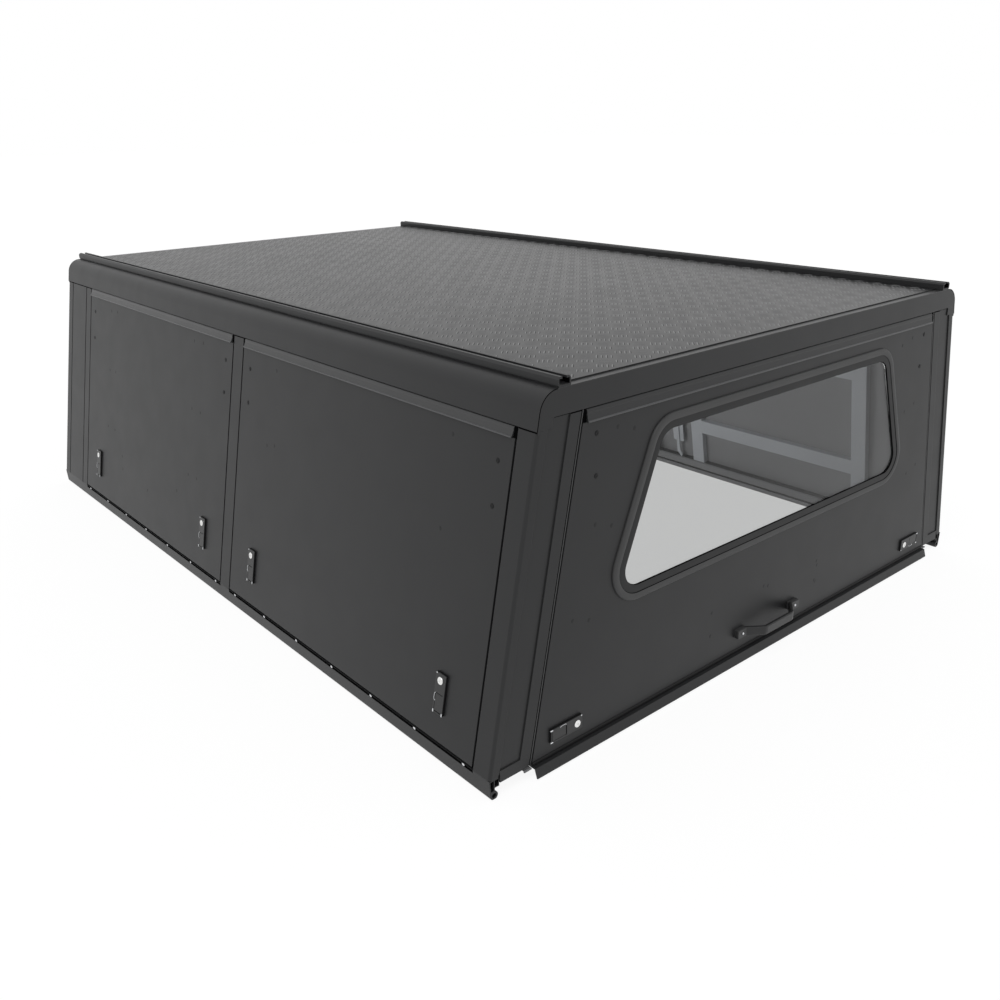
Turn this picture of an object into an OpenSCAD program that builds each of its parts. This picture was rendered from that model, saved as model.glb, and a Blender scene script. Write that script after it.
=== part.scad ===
// Pickup truck canopy: leaning side walls with two flip-up doors a side, and a
// top-hinged rear door with a window. X runs to the vehicle's right, Y to its
// front, Z up. The origin is on the bed-rail plane under the middle of the box.

/* [Body] */
// Length of the base rails
body_l = 2290; // [2050:10:2500]
// Width across the wall faces at the top of the base rails
base_w = 1660; // [1600:10:1760]
// Width across the wall faces under the cant rails
top_w = 1416; // [1376:4:1456]
// Height of the roof's supporting faces
roof_z = 742; // [690:2:800]
// Thickness of the extrusion walls
ext_t = 3; // [2.5:0.5:4]
// Thickness of the door and wall sheets
skin_t = 2.5; // [2:0.5:3]

/* [Base rails] */
// Height of a base rail
rail_h = 42; // [40:1:48]
// Width of a base rail
rail_w = 23; // [22:0.5:28]
// Thickness of the walls of a base rail
rail_t = 2; // [1.5:0.5:3]
// Height of the small inner channel's underside
rail_lip_z = 24; // [23:1:27]
// Radius of the rounded foot of a base rail
foot_r = 9; // [8:0.5:10]
// Radius of the hole along the foot
foot_hole_r = 5; // [3:0.5:6]

/* [Posts] */
// Side face width of a rear corner post
rear_post_l = 47; // [40:1:70]
// Face width of a middle post
mid_post_l = 48; // [40:1:70]
// Side face width of a front corner post
front_post_l = 209; // [150:1:300]
// End face width of the corner posts
end_post_w = 98; // [90:1:120]
// Depth of the posts behind the wall face
post_d = 34; // [32:1:44]
// Reach of the flange behind each door edge
jamb_flange = 20; // [16:1:24]
// Radius of the outer edge of a corner post
edge_r = 6; // [4:1:12]
// Depth of the sunk panel in a corner post's end face
sunk_d = 2.5; // [2:0.5:6]
// Width of the raised edge beside the sunk panel
sunk_edge = 22; // [20:1:30]
// Far edge of the sunk end panel, from the wall face
sunk_far = 72; // [50:1:80]
// Distance of the grooves beside a front post's side panel from the post's edges
groove_in = 39; // [30:1:60]
// Width of those grooves
groove_w = 5; // [3:0.5:8]
// Depth of those grooves
groove_d = 8; // [5:0.5:12]
// Width of the bracket under a rear post's foot
bracket_w = 11; // [8:1:30]
// Depth of that bracket
bracket_d = 20; // [12:1:30]
// How far that bracket reaches below the post
bracket_drop = 13; // [6:1:20]

/* [Roof] */
// Height of the roof's supporting faces above the wall faces' upper edge
cant_h = 66; // [62:1:76]
// Radius of the rounded cant rail
cant_r = 42; // [36:1:46]
// How far a cant rail stands proud of the wall
cant_proud = 2; // [1:0.5:3]
// Width of the cant rail's lower web
cant_web = 33; // [30:1:40]
// Width of the cant rail's top flange, from the curve's start
cant_flange = 45; // [40:1:60]
// Height of the header faces
header_h = 48; // [44:1:54]
// Depth of the headers
header_d = 40; // [36:1:60]
// Depth of a header's top that the roof sheet leaves open
header_ledge = 18; // [12:1:24]
// Thickness of the roof sheet
roof_t = 2.5; // [2:0.5:4]
// Number of roof bows
bow_count = 3; // [2:1:5]
// Width of a roof bow
bow_w = 40; // [30:2:60]
// Height of a roof bow
bow_h = 26; // [20:1:30]
// Width of an accessory rail
track_w = 30; // [28:1:36]
// Height of an accessory rail
track_h = 18; // [16:1:26]
// Width of the slot in an accessory rail
track_slot = 10; // [8:0.5:12]

/* [Doors] */
// Length of a rear side door, with the front one taking what the posts leave
side_door_l = 983; // [850:1:1100]
// Gap round a door
door_gap = 5; // [5:0.5:7]
// Depth of a door's folded rim
rim_d = 22; // [20:1:24]
// Height of the rear hinge strip
strip_h = 25; // [24:1:32]
// Height of the side hinge strips
side_strip_h = 22; // [20:1:32]
// How far the rear hinge strip stops short of the door's edges
strip_end = 9; // [3:1:12]
// How far a side hinge strip stops short of the door's edges
side_strip_end = 5; // [3:1:10]
// How far a hinge strip stands proud of the sheet
strip_proud = 1.5; // [1:0.5:2]
// Radius of the hinge barrels
barrel_r = 7; // [6:0.5:8]
// Running clearance round a hinge barrel
barrel_gap = 0.5; // [0.3:0.1:0.8]
// Gap beside the rear door
end_gap = 8; // [5:0.5:10]
// Height of the rear door's lower edge
rear_door_z = 29; // [27:1:40]
// Width of the bars of the doors' inner frames
bar_w = 45; // [35:1:50]
// Depth of the bars of the doors' inner frames
bar_d = 18; // [14:1:20]
// Distance of the outer inner-frame uprights from a side door's edge
bar_inset = 172; // [150:1:240]
// Distance of the rear door's inner-frame uprights from its edge
rear_bar_edge = 92; // [80:1:94]
// Height of the lower crossbar of a side door, at its lower edge
bar_z = 160; // [150:1:260]
// Distance up from the lower to the upper crossbar of a side door
crossbar_rise = 300; // [200:5:320]

/* [Window] */
// Height of the glass's lower edge
glass_z0 = 310; // [290:2:330]
// Distance of the glass's upper edge below the roof's supporting faces
glass_drop = 129; // [126:1:150]
// Half width of the glass at its lower edge
glass_hw0 = 494; // [460:2:500]
// Half width of the glass at its upper edge
glass_hw1 = 404; // [380:2:420]
// Corner radius of the glass
glass_r = 42; // [30:1:50]
// Thickness of the glass
glass_t = 5; // [4:0.5:6]
// Width of the window gasket outside the glass
gasket_w = 32; // [26:1:34]
// How far the gasket stands proud of the sheet
gasket_out = 8; // [6:0.5:12]

/* [Handle and latches] */
// Distance between the handle's screws
handle_l = 200; // [160:2:240]
// Height of the handle's screws
handle_z = 75; // [70:1:90]
// How far the handle stands out from the rear door
handle_out = 46; // [40:1:60]
// Height of the handle's grip
handle_h = 18; // [14:1:24]
// Length of a latch
latch_l = 82; // [78:1:90]
// Width of a latch
latch_w = 30; // [26:1:34]
// How far a latch stands out from the sheet
latch_out = 5; // [5:0.5:8]
// Distance of a side latch's middle from the door's edge
latch_inset = 110; // [90:1:120]
// Height of the side latches' middle
latch_z = 144; // [120:1:150]
// Distance of a rear latch's middle from the rear door's edge
rear_latch_inset = 78; // [74:1:150]
// Height of the rear latches' middle
rear_latch_z = 71; // [66:1:90]
// Thickness of a latch paddle
paddle_t = 3; // [2.5:0.5:3]
// Radius of a paddle's pin
pin_r = 1.5; // [1:0.25:1.5]

/* [Hidden] */
$fn = 48;

far = 4000;
seat_gap = 0.3;
foot_flat = 1;
strip_tilt = 2.5;
coat = "#3c3d3f";
coat_dark = "#26272a";
bare = "#b9bec4";
rubber = "#141416";

wall_top_z = roof_z - cant_h;
glass_z1 = roof_z - glass_drop;
// Lean of the walls, and the wall face's half width at height z
lean = atan((base_w - top_w) / 2 / (wall_top_z - rail_h));
function wall_x(z) = base_w / 2 - (z - rail_h) * tan(lean);
// Length along the wall from its upper edge down to height z
function down(z) = (wall_top_z - z) / cos(lean);

rear_y = (handle_out - gasket_out - body_l) / 2;
header_z = roof_z - header_h;
rear_door_y0 = rear_post_l + door_gap;
mid_post_y0 = rear_door_y0 + side_door_l + door_gap;
front_door_y0 = mid_post_y0 + mid_post_l + door_gap;
// Starts and lengths of a side's two doors
front_door = [front_door_y0, body_l - front_post_l - door_gap - front_door_y0];
rear_door = [rear_door_y0, side_door_l];
side_doors = [rear_door, front_door];
door_bottom_z = rail_h + door_gap;
door_inset = end_post_w + end_gap;
rear_latch_x = wall_x(rear_latch_z) - door_inset - rear_latch_inset;
hinge_drop = barrel_gap + barrel_r;
hinge_in = barrel_r - strip_proud;
// Place of a side door's hinge axis in the wall frame
side_hinge_z = -(hinge_drop - hinge_in * sin(lean)) / cos(lean);
flange_t = ext_t;
sunk_foot_h = 12;
seal_t = post_d - flange_t - rim_d - seat_gap;

// Frames of reference
module from_rear_end() translate([0, rear_y, 0]) children();
module on_side(side) from_rear_end() mirror([side < 0 ? 1 : 0, 0, 0]) children();
// Wall frame: X outward from the wall face, Y forward, Z up along the wall from its upper edge
module on_wall(side) on_side(side)
    translate([wall_x(wall_top_z), 0, wall_top_z]) rotate([0, -lean, 0]) children();
// Horizontal band of the wall frame's solids between two heights
module between(side, z0, z1) intersection() {
    children();
    translate([-far / 2, -far / 2, z0]) cube([far, far, z1 - z0]);
}

// Base rails
module base_rail_profile() {
    outer_x = base_w / 2;
    web_x = outer_x - rail_w / 2;
    foot_x = web_x + rail_t / 2;
    difference() {
        union() {
            polygon([[web_x - rail_t / 2, foot_r], [foot_x + foot_r, foot_r],
                     [outer_x, rail_h], [web_x - rail_t / 2, rail_h]]);
            translate([outer_x - rail_w, rail_lip_z]) square([rail_w / 2 + rail_t / 2, rail_h - rail_lip_z]);
            intersection() {
                translate([foot_x, foot_r - foot_flat]) circle(r = foot_r);
                translate([0, 0]) square([outer_x, rail_h]);
            }
        }
        translate([foot_x, foot_r - foot_flat]) circle(r = foot_hole_r);
        polygon([[foot_x, foot_r * 2], [foot_x + foot_r - rail_t, foot_r * 2],
                 [outer_x - rail_t, rail_h - rail_t], [foot_x, rail_h - rail_t]]);
        translate([outer_x - rail_w + rail_t, rail_lip_z + rail_t])
            square([rail_w / 2 - 1.5 * rail_t, rail_h - rail_lip_z - 2 * rail_t]);
    }
}
module base_rail(side) color(coat) on_side(side)
    translate([0, body_l, 0]) rotate([90, 0, 0]) linear_extrude(body_l) base_rail_profile();

// Posts, drawn across the wall frame: X outward, Y forward from the rear end
module side_door_jamb(y, forward) {
    // Return beside a door edge, with the flange behind the door
    dy = forward ? 1 : -1;
    translate([-post_d, min(y, y - dy * ext_t)]) square([post_d, ext_t]);
    translate([-post_d, min(y, y + dy * (door_gap + jamb_flange))])
        square([flange_t, door_gap + jamb_flange]);
}
// Channel behind a groove in a side face, whose near edge is at y
module side_groove(y, t) translate([-groove_d - t, y - t]) square([groove_d + ext_t + t, groove_w + 2 * t]);
module corner_section(side_l, side_panel) {
    leg = end_post_w * cos(lean);
    far_x = sunk_far * cos(lean);
    difference() {
        union() {
            translate([-ext_t, edge_r]) square([ext_t, side_l - edge_r]);
            intersection() {
                translate([-edge_r, edge_r]) circle(r = edge_r);
                translate([-edge_r, 0]) square(edge_r);
            }
            translate([-leg, 0]) square([leg - edge_r, ext_t]);
            // Sunk panel behind the end face, and its two steps
            translate([-far_x - ext_t, 0]) square([far_x - sunk_edge + 2 * ext_t, sunk_d + ext_t]);
            translate([-leg, 0]) square([ext_t, post_d]);
            translate([-leg - end_gap - jamb_flange, post_d - flange_t])
                square([end_gap + jamb_flange + ext_t, flange_t]);
            side_door_jamb(side_l, true);
            if (side_panel) intersection() {
                for (y = groove_places(side_l)) side_groove(y, ext_t);
                translate([-far, 0]) square([far, side_l]);
            }
        }
        translate([-edge_r, edge_r]) circle(r = edge_r - ext_t);
        translate([-far_x, -1]) square([far_x - sunk_edge, sunk_d + 1]);
        if (side_panel) for (y = groove_places(side_l)) side_groove(y, 0);
    }
}
function groove_places(side_l) = [groove_in, side_l - groove_in - groove_w];
module corner_post(side, side_l, side_panel) {
    difference() {
        between(side, rear_door_z, header_z) on_wall(side)
            translate([0, 0, -down(0)]) linear_extrude(down(0) + header_h) corner_section(side_l, side_panel);
        // Seat on the base rail
        on_side(side) translate([base_w / 2 - rail_w - seat_gap, -1, 0]) cube([far, body_l, rail_h]);
        // Seat under the cant rail
        on_side(side) translate([cant_inner_x, -1, wall_top_z]) cube([far, body_l + 2, far]);
    }
    sunk_foot(side);
}
module rear_post(side) color(coat) corner_post(side, rear_post_l, false);
// Foot that closes the sunk end panel below
module sunk_foot(side) on_side(side) {
    z1 = rail_h + sunk_foot_h;
    translate([wall_x(z1) - sunk_far, 0, rear_door_z])
        cube([sunk_far - sunk_edge - 1, sunk_d, z1 - rear_door_z]);
}
// Angle brackets under the rear posts' feet, which reach into the gaps beside the rear door
module rear_brackets() color(bare) from_rear_end() for (s = [0, 1]) mirror([s, 0, 0])
    translate([wall_x(rear_door_z) - end_post_w - ext_t, ext_t, rear_door_z - bracket_drop]) {
        translate([0, 0, bracket_drop - ext_t]) cube([bracket_w, bracket_d, ext_t]);
        cube([bracket_w, ext_t, bracket_drop]);
    }
module mid_post(side) color(coat) between(side, rail_h, wall_top_z) on_wall(side)
    translate([0, mid_post_y0, -down(0)]) linear_extrude(down(0)) difference() {
        union() {
            translate([-post_d, 0]) square([post_d, mid_post_l]);
            side_door_jamb(0, false);
            side_door_jamb(mid_post_l, true);
        }
        translate([-post_d + ext_t, ext_t]) square([post_d - 2 * ext_t, mid_post_l - 2 * ext_t]);
    }
module front_post(side) color(coat) from_front_end() corner_post(side, front_post_l, true);
// Mirrors a rear-end piece to the front end
module from_front_end() translate([0, 2 * rear_y + body_l, 0]) mirror([0, 1, 0]) children();

// Roof frame
cant_cz = roof_z - cant_r;
cant_cx = wall_x(cant_cz) + cant_proud - cant_r / cos(lean);
cant_inner_x = wall_x(wall_top_z) - cant_web;
flange_x = cant_cx - cant_flange;
flange_z = roof_z - 2 * ext_t;
// Sector of a disc over its tangent point on the leaning wall
module quarter(r) intersection() {
    circle(r = r);
    translate([0, min(0, r * sin(lean))]) square([r, r - min(0, r * sin(lean))]);
}
// Outline of the cant rail, drawn t inside its outer faces
module cant_profile(t) {
    low_x = wall_x(wall_top_z) + cant_proud;
    polygon([[cant_inner_x + t, wall_top_z + t], [low_x + t * tan(lean) - t / cos(lean), wall_top_z + t],
             [cant_cx + (cant_r - t) * cos(lean), cant_cz + (cant_r - t) * sin(lean)],
             [cant_inner_x + t, cant_cz + (cant_r - t) * sin(lean)]]);
    intersection() {
        translate([cant_cx, cant_cz]) quarter(cant_r - t);
        translate([cant_inner_x + t, 0]) square(far);
    }
}
// Hook behind a hinge barrel, about the barrel's axis, with the door on its +X side
module hinge_hook() difference() {
    r = barrel_r + barrel_gap;
    intersection() {
        circle(r = r + ext_t);
        polygon([[0, 0], for (a = [90 : 50 : 240]) 3 * r * [cos(a), sin(a)]]);
    }
    circle(r = r);
}
module cant_rail(side) color(coat) on_side(side)
    translate([0, body_l, 0]) rotate([90, 0, 0]) {
        linear_extrude(body_l) difference() {
            cant_profile(0);
            cant_profile(ext_t);
        }
        // End caps, flush with the headers' faces
        for (z = [0, body_l - ext_t]) translate([0, 0, z]) linear_extrude(ext_t) cant_profile(0);
        for (door = side_doors)
            translate([wall_x(wall_top_z - hinge_drop) - hinge_in / cos(lean), wall_top_z - hinge_drop,
                       body_l - door[0] - door[1] + side_strip_end])
                linear_extrude(door[1] - 2 * side_strip_end) hinge_hook();
        // Flange that carries the roof sheet and the accessory rail between the headers
        translate([0, 0, header_d + seat_gap]) linear_extrude(body_l - 2 * (header_d + seat_gap))
            intersection() {
                roof_outline();
                translate([flange_x, flange_z]) square([cant_inner_x + ext_t - flange_x, roof_z - flange_z]);
            }
    }
// Outline of the roof's rounded edges across the vehicle, X across, Y up
module roof_outline() hull() for (s = [-1, 1]) translate([s * cant_cx, cant_cz]) circle(r = cant_r);
module header() intersection() {
    half = cant_inner_x - seat_gap;
    rotate([90, 0, 90]) translate([0, 0, -half]) linear_extrude(2 * half) difference() {
        translate([0, header_z]) square([header_d, header_h]);
        translate([ext_t, header_z + ext_t]) square([header_d - 2 * ext_t, header_h - 2 * ext_t]);
    }
    on_end(-1, header_d + 1) roof_outline();
}
module rear_header() color(coat) from_rear_end() {
    half = wall_x(rear_skin_z1) - door_inset - strip_end;
    header();
    translate([-half, hinge_in, header_z - hinge_drop]) rotate([90, 0, 90])
        linear_extrude(2 * half) mirror([1, 0]) hinge_hook();
}
module front_header() color(coat) from_front_end() from_rear_end() header();
module roof_sheet() color(coat) from_rear_end()
    translate([-track_x0 + seat_gap, header_ledge, roof_z])
        cube([2 * (track_x0 - seat_gap), body_l - 2 * header_ledge, roof_t]);
module roof_bows() color(bare) from_rear_end() for (i = [1 : bow_count])
    translate([-flange_x, i * body_l / (bow_count + 1) - bow_w / 2, roof_z - bow_h])
        difference() {
            cube([2 * flange_x, bow_w, bow_h]);
            translate([-1, ext_t, -1]) cube([2 * flange_x + 2, bow_w - 2 * ext_t, bow_h + 1 - ext_t]);
        }
track_x0 = cant_cx - track_w;
module accessory_rail(side) color(coat) on_side(side)
    translate([track_x0, body_l, roof_z]) rotate([90, 0, 0]) linear_extrude(body_l) difference() {
        c = track_h / 4;
        floor_t = ext_t + 1;
        foot = [2, ext_t];
        polygon([[0, 0], [track_w - foot[0], 0], [track_w - foot[0], foot[1]], [track_w, foot[1]],
                 [track_w, track_h - c], [track_w - c, track_h], [c, track_h], [0, track_h - c]]);
        translate([ext_t, floor_t]) square([track_w - 2 * ext_t, track_h - 2 * floor_t]);
        translate([(track_w - track_slot) / 2, floor_t]) square([track_slot, track_h]);
    }

// Window outline on the end plane: X across, Y up, grown by g
module window_outline(g) hull() for (s = [-1, 1]) {
    translate([s * (glass_hw0 - glass_r), glass_z0 + glass_r]) circle(r = glass_r + g);
    translate([s * (glass_hw1 - glass_r), glass_z1 - glass_r]) circle(r = glass_r + g);
}
// Extrudes an outline drawn on the end plane from depth y0 to y1
module on_end(y0, y1) translate([0, y1, 0]) rotate([90, 0, 0]) linear_extrude(y1 - y0) children();
module end_panel_outline(inset, z0, z1) polygon([
    [-wall_x(z0) + inset, z0], [wall_x(z0) - inset, z0],
    [wall_x(z1) - inset, z1], [-wall_x(z1) + inset, z1]]);
glass_bite = 8;
window_cut = gasket_w / 2;
gasket_in = 6;
module window_gasket() {
    difference() {
        on_end(-gasket_out, 0) difference() {
            window_outline(gasket_w);
            window_outline(-glass_bite);
        }
        on_end(-gasket_out - 1, -gasket_out / 2) difference() {
            window_outline(gasket_w / 2);
            window_outline(gasket_w / 4);
        }
        on_end(-1, 0) window_outline(0);
    }
    on_end(0, skin_t) difference() {
        window_outline(window_cut - seat_gap);
        window_outline(seat_gap);
    }
    on_end(skin_t, skin_t + gasket_in) difference() {
        window_outline(gasket_w);
        window_outline(seat_gap);
    }
}
module window_glass() on_end(-1, glass_t - 1) window_outline(0);

// Rear door, drawn from the rear end
module end_tray(inset, z0, z1) difference() {
    on_end(0, rim_d) end_panel_outline(inset, z0, z1);
    on_end(skin_t, rim_d + 1) end_panel_outline(inset + skin_t, z0 + skin_t, z1 - skin_t);
    on_end(-1, skin_t + 1) window_outline(window_cut);
}
rear_skin_z1 = header_z - strip_h;
module rear_door_skin() color(coat) from_rear_end() difference() {
    end_tray(door_inset, rear_door_z, rear_skin_z1);
    for (s = [-1, 1]) rear_latch_place(s) latch_hole();
}
bar_clearance = 10;
rear_bars_z = glass_z0 - gasket_w - bar_w - bar_clearance;
module rear_door_frame() color(bare) from_rear_end() difference() {
    rear_bars(0);
    rear_bars(skin_t);
}
// Crossbar under the window and an upright at each side of it, or the hollow behind them, t inside
module rear_bars(t) {
    y0 = t > 0 ? 0 : skin_t;
    y1 = skin_t + bar_d - t;
    z1 = rear_skin_z1 - skin_t;
    inset = door_inset + rear_bar_edge;
    half = wall_x(rear_bars_z) - inset;
    translate([-half + t, y0, rear_bars_z + t]) cube([2 * (half - t), y1 - y0, bar_w - 2 * t]);
    for (s = [-1, 1]) on_end(y0, y1) polygon([
        [s * (half - bar_w + t), rear_bars_z + t], [s * (half - t), rear_bars_z + t],
        [s * (wall_x(z1) - inset - t), z1 - t], [s * (wall_x(z1) - inset - bar_w + t), z1 - t]]);
}
// Barrel with a leaf that hangs h below the strip's top: X outward from the barrel's axis, Y up
module hinge_section(h) {
    difference() {
        circle(r = barrel_r);
        circle(r = barrel_r / 2);
    }
    low = hinge_drop - h;
    root = 0.95 * barrel_r;
    polygon([[barrel_r - skin_t, 0], root * [cos(15), -sin(15)], [barrel_r + strip_tilt, low],
             [barrel_r - skin_t, low]]);
}
module rear_door_hinge() color(coat) from_rear_end() {
    half = wall_x(rear_skin_z1) - door_inset - strip_end;
    translate([-half, hinge_in, header_z - hinge_drop]) rotate([90, 0, 90])
        linear_extrude(2 * half) mirror([1, 0]) hinge_section(strip_h);
}
// Drip flange under the rear door, which slopes outward to its lower edge
module rear_door_flange() color(coat) from_rear_end() {
    half = wall_x(rear_door_z) - door_inset;
    knee = 10;
    out = 16;
    low_z = 5;
    knee_z = rear_door_z - 4;
    rotate([90, 0, 90]) translate([0, 0, -half]) linear_extrude(2 * half) polygon([
        [0, knee_z], [0, rear_door_z], [rim_d, rear_door_z], [rim_d, knee_z - skin_t],
        [skin_t - knee, knee_z - skin_t], [skin_t - out, low_z], [-out, low_z], [-knee, knee_z]]);
}
module rear_window_gasket() color(rubber) from_rear_end() window_gasket();
module rear_window_glass() color("#9fb0ad", 0.35) from_rear_end() window_glass();
module rear_door_handle() color(coat_dark) from_rear_end() translate([0, 0, handle_z]) {
    boss_r = 11;
    grip_t = 12;
    foot = handle_l / 2 + 9;
    foot_in = handle_l / 2 - 5;
    bend = handle_l / 2 - 24;
    bend_in = handle_l / 2 - 32;
    for (s = [-1, 1]) translate([s * handle_l / 2, 0, 0]) rotate([90, 0, 0]) cylinder(r = boss_r, h = grip_t);
    translate([0, 0, -handle_h / 2]) linear_extrude(handle_h) polygon([
        [-foot, -grip_t / 2], [-bend, -handle_out], [bend, -handle_out], [foot, -grip_t / 2],
        [foot_in, -grip_t / 2], [bend_in, -handle_out + grip_t], [-bend_in, -handle_out + grip_t],
        [-foot_in, -grip_t / 2]]);
}

// Latches: X outward from the sheet, Y across, Z along, with the paddle below the lock
latch_rim = 5;
latch_body_d = 16;
finger_l = 18;
finger_d = 3;
finger_rim = 3;
lock_r = 7.5;
lock_h = 1.5;
lock_inset = 14;
paddle_play = 0.4;
pin_play = 0.05;
paddle_w = latch_w - 8;
paddle_l = latch_l / 2 - 4;
pin_l = latch_w - 4;
pin_z = -pin_r - 1.5;
pin_x = latch_out - paddle_t / 2 - paddle_play;
module latch_inner(clearance, x0, x1)
    translate([x0, -latch_w / 2 + latch_rim + clearance, -latch_l / 2 + latch_rim + 1 + clearance])
        cube([x1 - x0, latch_w - 2 * (latch_rim + clearance), latch_l - 2 * (latch_rim + 1 + clearance)]);
module latch_hole() latch_inner(0, -skin_t - 1, 1);
module latch_body() {
    low = -latch_l / 2;
    difference() {
        union() {
            // Plate with its raised frame
            translate([0, -latch_w / 2, low]) cube([latch_out, latch_w, latch_l]);
            // Body behind the sheet
            latch_inner(seat_gap, -latch_body_d, 0);
        }
        // Pocket round the paddle
        translate([latch_out - paddle_t - 3 * paddle_play, -paddle_w / 2 - paddle_play, low + 2])
            cube([far, paddle_w + 2 * paddle_play, -low - 2]);
        // Finger recess under the paddle's free end
        translate([-finger_d, -paddle_w / 2 + finger_rim, low + 2])
            cube([far, paddle_w - 2 * finger_rim, finger_l]);
        translate([pin_x, 0, pin_z]) rotate([90, 0, 0])
            cylinder(r = pin_r + pin_play, h = pin_l + 1, center = true);
    }
    translate([latch_out - 1, 0, latch_l / 2 - lock_inset]) rotate([0, 90, 0])
        cylinder(r = lock_r, h = lock_h + 1);
}
module paddle() {
    difference() {
        translate([pin_x - paddle_t / 2, -paddle_w / 2, pin_z - paddle_l + pin_r + 1])
            cube([paddle_t, paddle_w, paddle_l]);
        // Rounded heel that lets the paddle turn in its pocket
        difference() {
            translate([pin_x - far / 2, -far / 2, pin_z]) cube(far);
            translate([pin_x, 0, pin_z]) rotate([90, 0, 0])
                cylinder(r = paddle_t / 2, h = far, center = true);
        }
    }
    translate([pin_x, 0, pin_z]) rotate([90, 0, 0]) cylinder(r = pin_r, h = pin_l, center = true);
}
// Where the latches sit: seen from outside, both rear locks point to the middle
module rear_latch_place(s) translate([s * rear_latch_x, 0, rear_latch_z])
    rotate([0, 0, -90]) rotate([s * 90, 0, 0]) children();
module side_latch_place(door, i)
    translate([0, door[0] + (i == 1 ? latch_inset : door[1] - latch_inset), -down(latch_z)]) children();
module rear_latch_bodies() color(coat_dark) from_rear_end()
    for (s = [-1, 1]) rear_latch_place(s) latch_body();
module rear_paddle(s) color(coat_dark) from_rear_end() rear_latch_place(s) paddle();

// Side doors, drawn in the wall frame, where door holds the door's start and length
module side_door_skin(side, door) color(coat) on_wall(side) difference() {
    h = down(door_bottom_z);
    translate([-rim_d, door[0], -h]) cube([rim_d, door[1], h - side_strip_h]);
    translate([-rim_d - 1, door[0] + skin_t, -h + skin_t])
        cube([rim_d + 1 - skin_t, door[1] - 2 * skin_t, h - side_strip_h - 2 * skin_t]);
    for (i = [1, 2]) side_latch_place(door, i) latch_hole();
}
module side_door_frame(side, door) color(bare) on_wall(side) difference() {
    side_bars(0, door);
    side_bars(skin_t, door);
}
// Bars of a side door's inner frame, or the hollow behind them, t inside
module side_bars(t, door) {
    z0 = -down(door_bottom_z) + skin_t;
    z1 = -side_strip_h - skin_t;
    x0 = -skin_t - bar_d + t;
    x1 = t > 0 ? 0 : -skin_t;
    for (y = [door[0] + bar_inset, door[0] + door[1] - bar_inset - bar_w])
        translate([x0, y + t, z0 + t]) cube([x1 - x0, bar_w - 2 * t, z1 - z0 - 2 * t]);
    for (z = [-down(bar_z), -down(bar_z) + crossbar_rise])
        translate([x0, door[0] + bar_inset + t, z + t])
            cube([x1 - x0, door[1] - 2 * bar_inset - 2 * t, bar_w - 2 * t]);
}
module side_door_hinge(side, door) color(coat) on_wall(side)
    translate([-hinge_in, door[0] + door[1] - side_strip_end, side_hinge_z]) rotate([90, 0, 0])
        linear_extrude(door[1] - 2 * side_strip_end) hinge_section(side_strip_h);
module side_latch_bodies(side, door) color(coat_dark) on_wall(side)
    for (i = [1, 2]) side_latch_place(door, i) latch_body();
module side_paddle(side, door, i) color(coat_dark) on_wall(side) side_latch_place(door, i) paddle();

// Front wall
module front_wall() color(coat) from_front_end() from_rear_end()
    end_tray(end_post_w + seat_gap, rear_door_z, header_z);
module front_window_gasket() color(rubber) from_front_end() from_rear_end() window_gasket();
module front_window_glass() color("#9fb0ad", 0.35) from_front_end() from_rear_end() window_glass();

// Seals on the posts' flanges behind the door edges
module seal_strip(y) translate([-post_d + flange_t, y, -down(door_bottom_z)])
    cube([seal_t, jamb_flange / 2, down(door_bottom_z) - side_strip_h]);
module door_seals() color(rubber) {
    for (side = [-1, 1]) on_wall(side) {
        for (door = side_doors) {
            seal_strip(door[0]);
            seal_strip(door[0] + door[1] - jamb_flange / 2);
        }
    }
    from_rear_end() for (s = [-1, 1]) on_end(post_d - flange_t - seal_t, post_d - flange_t) {
        in0 = door_inset;
        in1 = door_inset + jamb_flange / 2;
        low = wall_x(rear_door_z);
        high = wall_x(rear_skin_z1);
        polygon([[s * (low - in0), rear_door_z], [s * (high - in0), rear_skin_z1],
                 [s * (high - in1), rear_skin_z1], [s * (low - in1), rear_door_z]]);
    }
}

module base_rail_left() base_rail(-1);
module base_rail_right() base_rail(1);
module rear_post_left() rear_post(-1);
module rear_post_right() rear_post(1);
module front_post_left() front_post(-1);
module front_post_right() front_post(1);
module mid_post_left() mid_post(-1);
module mid_post_right() mid_post(1);
module cant_rail_left() cant_rail(-1);
module cant_rail_right() cant_rail(1);
module accessory_rail_left() accessory_rail(-1);
module accessory_rail_right() accessory_rail(1);

base_rail_left();
base_rail_right();
rear_post_left();
rear_post_right();
front_post_left();
front_post_right();
mid_post_left();
mid_post_right();
rear_brackets();
cant_rail_left();
cant_rail_right();
rear_header();
front_header();
roof_sheet();
roof_bows();
accessory_rail_left();
accessory_rail_right();
front_wall();
front_window_gasket();
front_window_glass();
door_seals();
rear_door_skin();
rear_door_frame();
rear_door_hinge();
rear_door_flange();
rear_window_gasket();
rear_window_glass();
rear_door_handle();
rear_latch_bodies();
rear_paddle(-1);  // rear_paddle_left
rear_paddle(1);  // rear_paddle_right
side_door_skin(-1, rear_door);  // left_rear_door_skin
side_door_frame(-1, rear_door);  // left_rear_door_frame
side_door_hinge(-1, rear_door);  // left_rear_door_hinge
side_latch_bodies(-1, rear_door);  // left_rear_latch_bodies
side_paddle(-1, rear_door, 1);  // left_rear_paddle_1
side_paddle(-1, rear_door, 2);  // left_rear_paddle_2
side_door_skin(-1, front_door);  // left_front_door_skin
side_door_frame(-1, front_door);  // left_front_door_frame
side_door_hinge(-1, front_door);  // left_front_door_hinge
side_latch_bodies(-1, front_door);  // left_front_latch_bodies
side_paddle(-1, front_door, 1);  // left_front_paddle_1
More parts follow.
